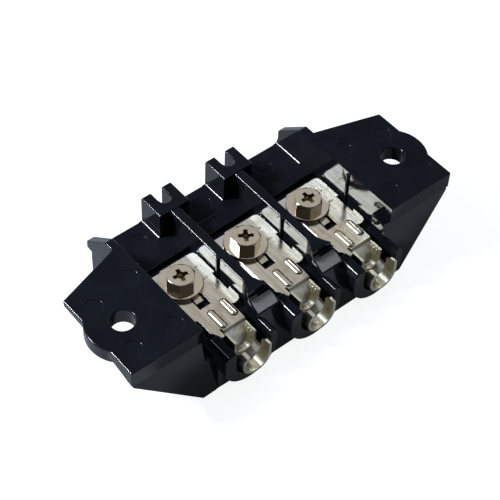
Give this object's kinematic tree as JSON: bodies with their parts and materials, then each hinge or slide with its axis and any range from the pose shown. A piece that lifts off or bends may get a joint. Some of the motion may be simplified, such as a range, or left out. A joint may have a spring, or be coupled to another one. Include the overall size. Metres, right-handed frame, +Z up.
{
  "type": "dryer terminal block",
  "caption": "Black moulded dryer terminal block with fixing ears, barrier walls, hex terminal screws and open crimp terminals.",
  "frame": {"origin": "midway between the two fixing holes, on the top face of the ears", "axes": "+X along the row of poles, +Y from the outlet cups to the cord side, +Z up along the fixing holes"},
  "size_m": [0.1236, 0.06, 0.0258],
  "materials": {
    "black_moulding": "glossy moulded, bluish black",
    "plated_steel": "bright plated",
    "tinned_brass": "bright tin plate, slightly warm",
    "nickel_steel": "bright nickel plate"
  },
  "bodies": {
    "block": {"housing": "black_moulding", "base_plate_1": "plated_steel", "base_plate_2": "plated_steel", "base_plate_3": "plated_steel", "crimp_terminal_1": "tinned_brass", "crimp_terminal_2": "tinned_brass", "crimp_terminal_3": "tinned_brass"},
    "washer_1": {"captive_washer_1": "nickel_steel"},
    "screw_1": {"terminal_screw_1": "nickel_steel"},
    "washer_2": {"captive_washer_2": "nickel_steel"},
    "screw_2": {"terminal_screw_2": "nickel_steel"},
    "washer_3": {"captive_washer_3": "nickel_steel"},
    "screw_3": {"terminal_screw_3": "nickel_steel"}
  },
  "joints": [
    {"name": "washer_1_lift", "type": "slide", "parent": "block", "child": "washer_1", "axis": [0, 0, 1], "range_m": [0, 0.00397]},
    {"name": "screw_1_turn", "type": "hinge", "parent": "washer_1", "child": "screw_1", "pos_m": [-0.02507, 0.0072, -0.01], "axis": [0, 0, 1], "range_deg": [0, 1800]},
    {"name": "washer_2_lift", "type": "slide", "parent": "block", "child": "washer_2", "axis": [0, 0, 1], "range_m": [0, 0.00397]},
    {"name": "screw_2_turn", "type": "hinge", "parent": "washer_2", "child": "screw_2", "pos_m": [-0.0007, 0.0072, -0.01], "axis": [0, 0, 1], "range_deg": [0, 1800]},
    {"name": "washer_3_lift", "type": "slide", "parent": "block", "child": "washer_3", "axis": [0, 0, 1], "range_m": [0, 0.00397]},
    {"name": "screw_3_turn", "type": "hinge", "parent": "washer_3", "child": "screw_3", "pos_m": [0.02367, 0.0072, -0.01], "axis": [0, 0, 1], "range_deg": [0, 1800]}
  ],
  "couplings": [
    {"joint": "screw_1_turn", "follows": "washer_1_lift", "rad_per_m": 7915.8},
    {"joint": "screw_2_turn", "follows": "washer_2_lift", "rad_per_m": 7915.8},
    {"joint": "screw_3_turn", "follows": "washer_3_lift", "rad_per_m": 7915.8}
  ]
}
